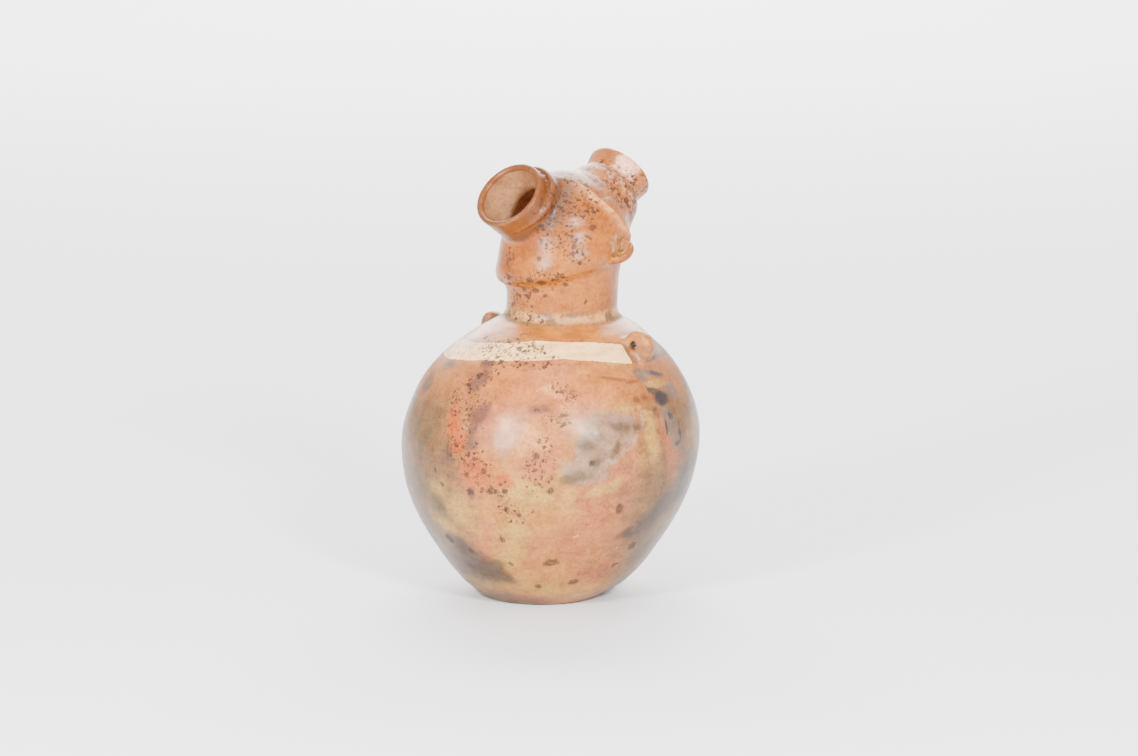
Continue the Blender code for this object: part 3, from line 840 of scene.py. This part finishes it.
def discFields(points):
    onDisc, holePaintedShade = {}, {}
    for name, place in discs["places"].items():
        solid, hole = discField(points, *place)
        onDisc[name] = 1 - ease(solid, *discPaint["edge"])
        # painted shade inside each disc's hole
        holePaintedShade[name] = (1 - ease(hole, *discPaint["holeEdge"])) * (solid < discPaint["holeFrom"])
    return {
        "smokedDisc": onDisc["rightDisc"],
        "onDisc": np.maximum(*onDisc.values()),
        "holePaintedShade": np.maximum(*holePaintedShade.values()),
    }


# keep each field as a value at each point of the mesh, for the material to read
def markSurface(mesh):
    points = meshPoints(mesh)
    turn, radius, height = potCoordinates(points)
    inside = ease(-(outerField(points) + surface["skin"]), 0, surface["thinSkin"])
    fields = {"inside": inside, **zoneFields(points, turn, radius, height),
              **bandFields(points, np.degrees(turn), radius, height),
              **headFields(points, height, inside), **discFields(points)}
    for name, values in fields.items():
        attribute = mesh.attributes.new(name, "FLOAT", "POINT")
        attribute.data.foreach_set("value", np.asarray(values, np.float32))


markSurface(vesselClay.data)
print("colour zones marked")

# Among these, the sides' colour is partly painted shade, the pale colour and the ring's cream are partly
# painted highlight, the holes' colour is painted shade and the deep inside's bright colour is painted
# light.
clay = {
    "salmon": (0.40, 0.125, 0.046), "tan": (0.46, 0.195, 0.046), "side": (0.175, 0.090, 0.034),
    "orange": (0.42, 0.083, 0.014), "ochre": (0.46, 0.265, 0.056), "paleAndPaintedHighlight": (0.74, 0.31, 0.105),
    "olive": (0.095, 0.064, 0.028), "char": (0.050, 0.035, 0.025), "grey": (0.074, 0.048, 0.026),
    "smoke": (0.29, 0.185, 0.118), "smokeStreak": (0.42, 0.30, 0.215), "smokeDark": (0.100, 0.069, 0.036),
    "lilac": (0.24, 0.140, 0.100), "purple": (0.095, 0.048, 0.042), "yellow": (0.42, 0.235, 0.060),
    "slate": (0.054, 0.041, 0.038), "slateTail": (0.165, 0.118, 0.088), "slateCore": (0.040, 0.036, 0.040),
    "redLine": (0.19, 0.048, 0.018), "underBand": (0.50, 0.160, 0.032), "shoulder": (0.52, 0.165, 0.018),
    "cream": (0.98, 0.60, 0.25), "ringCreamAndHighlight": (0.98, 0.47, 0.15), "stain": (0.34, 0.185, 0.070),
    "head": (0.34, 0.084, 0.008), "headPale": (0.46, 0.150, 0.018), "mouth": (0.100, 0.034, 0.012),
    "mound": (0.40, 0.130, 0.034), "ear": (0.50, 0.240, 0.075), "bloom": (0.090, 0.052, 0.034),
    "rearWash": (0.90, 0.48, 0.32), "grit": (0.60, 0.40, 0.29), "gritDark": (0.060, 0.040, 0.040),
    "disc": (0.40, 0.160, 0.060), "smokedDisc": (0.120, 0.072, 0.044), "holePaintedShade": (0.050, 0.024, 0.014),
    "inside": (0.38, 0.185, 0.080), "deepPaintedLight": (0.80, 0.47, 0.27),
    "speck": (0.028, 0.014, 0.009), "scratch": (0.80, 0.50, 0.34),
}
# scale, detail, roughness and stretch
noises = {
    "cloudy": (26, 5.0, 0.6), "patchy": (80, 6.0, 0.65), "torn": (210, 7.0, 0.76), "fine": (420, 5.0, 0.65),
    "wiped": (60, 5.0, 0.6, (0.8, 0.8, 5.0)), "combed": (90, 6.0, 0.68, (2.0, 2.0, 0.9)),
    "dripped": (150, 6.0, 0.7, (0.7, 0.7, 2.2)), "crumbs": (300, 4.0, 0.6), "crowded": (95, 3.0, 0.6),
    "ragged": (560, 6.0, 0.75), "smudged": (230, 6.0, 0.72), "dusty": (760, 4.0, 0.7),
    "grainy": (900, 4.0, 0.6), "lumpy": (190, 3.0, 0.5),
}
# zones in the order they are laid: the noise that tears the edge, where the colour starts and is full,
# how far the noise moves that, and strength
clayLayers = {
    "ochre": ("patchy", -0.10, 0.75, 0.9, 0.80), "salmon": ("patchy", -0.10, 0.80, 0.8, 0.75),
    "orange": ("patchy", -0.10, 0.80, 0.8, 0.88), "paleAndPaintedHighlight": ("patchy", 0.0, 0.95, 0.7, 0.60),
    "grey": ("patchy", -0.15, 0.70, 1.0, 0.75), "olive": ("patchy", -0.10, 0.70, 1.5, 0.75),
    "char": ("torn", -0.15, 0.70, 1.5, 0.88), "smoke": ("patchy", -0.02, 0.42, 0.9, 0.88),
    "lilac": ("patchy", -0.05, 0.55, 0.9, 0.78), "smokeDark": ("torn", -0.25, 0.55, 2.6, 0.78),
    "smokeStreak": ("combed", 0.05, 0.80, 1.5, 0.75), "purple": ("torn", -0.25, 0.50, 2.6, 0.72),
    "slateTail": ("torn", -0.15, 0.35, 2.0, 0.84), "slate": ("torn", -0.15, 0.35, 1.8, 0.90),
    "slateCore": ("torn", -0.10, 0.45, 2.4, 0.80), "yellow": ("fine", -0.05, 0.30, 0.9, 0.80),
    "redLine": ("fine", 0.0, 0.50, 1.8, 0.70),
}
# paints and deposits in the order they lie, the neck ring and the hood's edge partly painted highlight:
# field, colour, strength, and the noise that breaks them up, with where that starts and is full
headLayers = [
    ("neckRingCreamAndHighlight", "ringCreamAndHighlight", 0.72, "patchy", 0.62, 0.40),
    ("mound", "mound", 0.80, "patchy", 0.30, 0.55),
    ("hoodEdgePaleHighlight", "paleAndPaintedHighlight", 0.80, "patchy", 0.28, 0.55),
    ("earDish", "ear", 0.80, "patchy", 0.25, 0.60),
    ("onMouth", "mouth", 0.65),
    ("rearWash", "rearWash", 0.92, "patchy", 0.36, 0.50),
    ("bloom", "bloom", 0.75, "patchy", 0.36, 0.56),
    ("grit", "grit", 0.66, "crumbs", 0.52, 0.62),
    ("grit", "gritDark", 0.85, "crumbs", 0.44, 0.36),
]
# the discs, painted shade in their holes, the inside, and painted light deep inside; columns as above
lastLayers = [
    ("onDisc", "disc", 0.70),
    ("smokedDisc", "smokedDisc", 0.85, "patchy", 0.60, 0.38),
    ("holePaintedShade", "holePaintedShade", 0.85),
    ("inside", "inside", 0.80),
    ("deepPaintedLight", "deepPaintedLight", 1.0),
]
# wear that darkens the whole surface: noise, where it starts and is full, strength and tint
wearLayers = [
    ("fine", 0.62, 0.34, 0.55, (0.62, 0.52, 0.44)),
    ("patchy", 0.60, 0.34, 0.55, (0.62, 0.52, 0.42)),
    ("wiped", 0.44, 0.66, 0.30, (0.60, 0.50, 0.44)),
    ("dusty", 0.50, 0.66, 0.40, (0.58, 0.47, 0.40)),
    ("smudged", 0.56, 0.68, 0.42, (0.46, 0.40, 0.38)),
]
# other places where a noise or a field starts and is full, then as in the tables above
limits = {
    "tan": (0.38, 0.62), "shade": (-0.20, 0.45, 0.5), "headPale": (0.40, 0.62, 0.80),
    "bandEdge": (-0.15, 0.25), "rubbed": (0.56, 0.44), "worn": (0.42, 0.62, 0.34),
    "stained": (0.52, 0.66, 0.62), "scratches": (0.0, 0.35, 0.6, 0.75),
    "speckled": (-0.10, 0.50), "crowded": (0.34, 0.56, 0.75), "marks": (-0.12, 0.14, 2.6, 0.95),
    "speckRagged": (0.86, 0.40, 0.96),
}
shares = {"underBand": 0.62, "head": 0.88, "bandTear": 1.2, "wiped": 0.6, "fine": 0.4, "secondCoat": 0.50,
          "sparse": 0.25, "moreOnHead": 0.40, "smallSpecks": 0.85}
# cells to a metre, share of the density, luck that a speck needs to show and to be largest, and how far
# it is pulled out of round
specks = {
    "large": (205, 0.46, 0.98, 1.20, 1.2), "middle": (330, 0.56, 0.88, 1.20, 1.1),
    "small": (620, 0.74, 0.82, 1.24, 0.9), "radius": 0.46, "softEdge": 0.12,
}
finish = {
    "specular": 0.24, "roughness": 0.18, "wipedRough": 0.16, "fineRough": 0.10, "paintRough": 0.09,
    "speckRough": 0.18, "insideRough": 0.30,
    "bumps": (("grainy", 0.35), ("wiped", 0.6), ("lumpy", 0.5)), "speckPit": 0.25,
    "bumpStrength": 0.40, "bumpDepth": 0.00020,
}


class ClayNodes:
    def __init__(self, tree):
        self.tree = tree
        self.place = self.add("ShaderNodeTexCoord").outputs["Object"]
        self.made = {}

    def add(self, kind, settings=None, **inputs):
        node = self.tree.nodes.new(kind)
        for name, setting in (settings or {}).items():
            setattr(node, name, setting)
        for name, value in inputs.items():
            self.feed(node.inputs[name.replace("_", " ")], value)
        return node

    def feed(self, socket, value):
        if isinstance(value, bpy.types.NodeSocket):
            self.tree.links.new(value, socket)
        else:
            socket.default_value = value

    def math(self, operation, first, second):
        node = self.add("ShaderNodeMath", {"operation": operation})
        self.feed(node.inputs[0], first)
        self.feed(node.inputs[1], second)
        return node.outputs[0]

    def plus(self, first, second):
        return self.math("ADD", first, second)

    def times(self, first, second):
        return self.math("MULTIPLY", first, second)

    def rest(self, value):
        return self.math("SUBTRACT", 1.0, value)

    def ramp(self, value, low, high, top=1.0):
        node = self.add("ShaderNodeMapRange", {"interpolation_type": "SMOOTHSTEP"},
                        Value=value, From_Min=low, From_Max=high, To_Min=0.0, To_Max=top)
        return node.outputs["Result"]

    def mix(self, amount, first, second, blend="MIX"):
        node = self.add("ShaderNodeMix", {"data_type": "RGBA", "blend_type": blend})
        self.feed(node.inputs[0], amount)
        for socket, value in ((node.inputs[6], first), (node.inputs[7], second)):
            self.feed(socket, value if isinstance(value, bpy.types.NodeSocket) else (*value, 1))
        return node.outputs[2]

    def field(self, name):
        return self.add("ShaderNodeAttribute", {"attribute_name": name}).outputs["Fac"]

    # each noise is made once and shared
    def noise(self, name):
        if name not in self.made:
            scale, detail, roughness, *stretch = noises[name]
            place = self.add("ShaderNodeMapping", Vector=self.place, Scale=(stretch or [(1, 1, 1)])[0])
            node = self.add("ShaderNodeTexNoise", Scale=scale, Detail=detail, Roughness=roughness,
                            Vector=place.outputs["Vector"])
            self.made[name] = node.outputs["Fac"]
        return self.made[name]

    # a field whose edge is torn by a noise, from 0 to top
    def zone(self, name, edge, low, high, amount, top=1.0):
        lift = self.times(self.math("SUBTRACT", self.noise(edge), 0.5), amount)
        return self.ramp(self.plus(self.field(name), lift), low, high, top)

    # round specks, one to a cell at most, more and larger where density is high
    def dots(self, cells, density, least, most, wobble):
        noise = self.add("ShaderNodeTexNoise", Scale=cells * 1.7, Detail=2.0, Vector=self.place)
        shift = self.add("ShaderNodeVectorMath", {"operation": "MULTIPLY_ADD"})
        for socket, value in zip(shift.inputs, (noise.outputs["Color"], (wobble / cells,) * 3, self.place)):
            self.feed(socket, value)
        dots = self.add("ShaderNodeTexVoronoi", Scale=cells, Vector=shift.outputs[0])
        luck = self.add("ShaderNodeSeparateColor", Color=dots.outputs["Color"]).outputs["Red"]
        size = self.ramp(self.plus(luck, density), least, most, specks["radius"])
        return self.ramp(self.math("SUBTRACT", size, dots.outputs["Distance"]), 0.0, specks["softEdge"])

    def lay(self, colour, layers):
        for name, paint, strength, *broken in layers:
            if broken:
                edge, low, high = broken
                strength = self.ramp(self.noise(edge), low, high, strength)
            colour = self.mix(self.times(self.field(name), strength), colour, clay[paint])
        return colour


# colour of the burnished clay with its ochre, orange and smoked places, pale patches that are partly
# painted highlight, and sides darkened partly by greyer clay and partly by painted shade
def clayColour(n):
    colour = n.mix(n.ramp(n.noise("cloudy"), *limits["tan"]), clay["salmon"], clay["tan"])
    # sides away from the front and back are darkened: partly greyer clay, partly painted shade
    colour = n.mix(n.rest(n.zone("clearOfSideShade", "patchy", *limits["shade"])), colour, clay["side"])
    colour = n.mix(n.times(n.field("underBand"), shares["underBand"]), colour, clay["underBand"])
    for name, settings in clayLayers.items():
        colour = n.mix(n.zone(name, *settings), colour, clay[name])
    return colour


# painted band and rings, the head, spouts, ears and discs, with partly painted highlight on the neck ring
# and the hood's edge, painted shade in the disc holes and painted light deep inside
def paintedColour(n, colour, paint, worn):
    colour = n.mix(n.times(n.field("shoulderPaint"), worn), colour, clay["shoulder"])
    head = n.mix(n.ramp(n.noise("cloudy"), *limits["headPale"]), clay["head"], clay["headPale"])
    colour = n.mix(n.times(n.field("headPaint"), shares["head"]), colour, head)
    colour = n.lay(colour, headLayers)
    colour = n.mix(n.times(paint, worn), colour, clay["cream"])
    stained = n.times(paint, n.ramp(n.noise("dripped"), *limits["stained"]))
    colour = n.lay(n.mix(stained, colour, clay["stain"]), lastLayers)
    return n.mix(n.zone("scratches", "fine", *limits["scratches"]), colour, clay["scratch"])


# specks of dark temper, and the marks left by knocks and soot
def darkSpecks(n):
    crowd = n.plus(n.ramp(n.noise("crowded"), *limits["crowded"]), shares["sparse"])
    density = n.times(n.ramp(n.field("specks"), *limits["speckled"]), crowd)
    density = n.times(density, n.rest(n.field("inside")))
    onHead = n.times(density, n.plus(n.times(n.field("headPaint"), shares["moreOnHead"]), 1.0))
    sizes = []
    for name, crowding in (("large", onHead), ("middle", onHead), ("small", density)):
        cells, share, *settings = specks[name]
        sizes.append(n.dots(cells, n.times(crowding, share), *settings))
    large, middle, small = sizes
    dark = n.math("MAXIMUM", n.math("MAXIMUM", large, middle), n.times(small, shares["smallSpecks"]))
    dark = n.math("MAXIMUM", dark, n.zone("marks", "ragged", *limits["marks"]))
    return n.times(dark, n.ramp(n.noise("ragged"), *limits["speckRagged"]))


# the band's paint, brushed on with a rough edge and rubbed away towards one end
def bandPaint(n):
    paint = n.zone("bandInset", "fine", *limits["bandEdge"], shares["bandTear"])
    rubbed = n.times(n.field("bandWear"), n.ramp(n.noise("torn"), *limits["rubbed"]))
    return n.times(paint, n.rest(rubbed))


def burnishedClay():
    material = bpy.data.materials.new("burnishedClay")
    material.use_nodes = True
    shader = material.node_tree.nodes["Principled BSDF"]
    shader.inputs["Specular IOR Level"].default_value = finish["specular"]
    n = ClayNodes(material.node_tree)
    paint, dark = bandPaint(n), darkSpecks(n)
    brushed = n.plus(n.times(n.noise("wiped"), shares["wiped"]), n.times(n.noise("fine"), shares["fine"]))
    worn = n.rest(n.ramp(brushed, *limits["worn"]))

    colour = paintedColour(n, clayColour(n), paint, worn)
    for name, low, high, strength, tint in wearLayers:
        colour = n.mix(n.ramp(n.noise(name), low, high, strength), colour, tint, "MULTIPLY")
    colour = n.mix(n.times(n.times(paint, worn), shares["secondCoat"]), colour, clay["cream"])
    n.feed(shader.inputs["Base Color"], n.mix(dark, colour, clay["speck"]))

    rough = finish["roughness"]
    for value, amount in ((n.noise("wiped"), "wipedRough"), (n.noise("fine"), "fineRough"),
                          (paint, "paintRough"), (dark, "speckRough"), (n.field("inside"), "insideRough")):
        rough = n.plus(rough, n.times(value, finish[amount]))
    n.feed(shader.inputs["Roughness"], rough)

    height = n.times(dark, -finish["speckPit"])
    for name, amount in finish["bumps"]:
        height = n.plus(height, n.times(n.noise(name), amount))
    bump = n.add("ShaderNodeBump", Strength=finish["bumpStrength"], Distance=finish["bumpDepth"],
                 Height=height)
    n.feed(shader.inputs["Normal"], bump.outputs["Normal"])
    return material


vesselClay.data.materials.clear()
vesselClay.data.materials.append(burnishedClay())
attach(vesselClay, "root")
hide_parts("vessel")
print("clay finished")
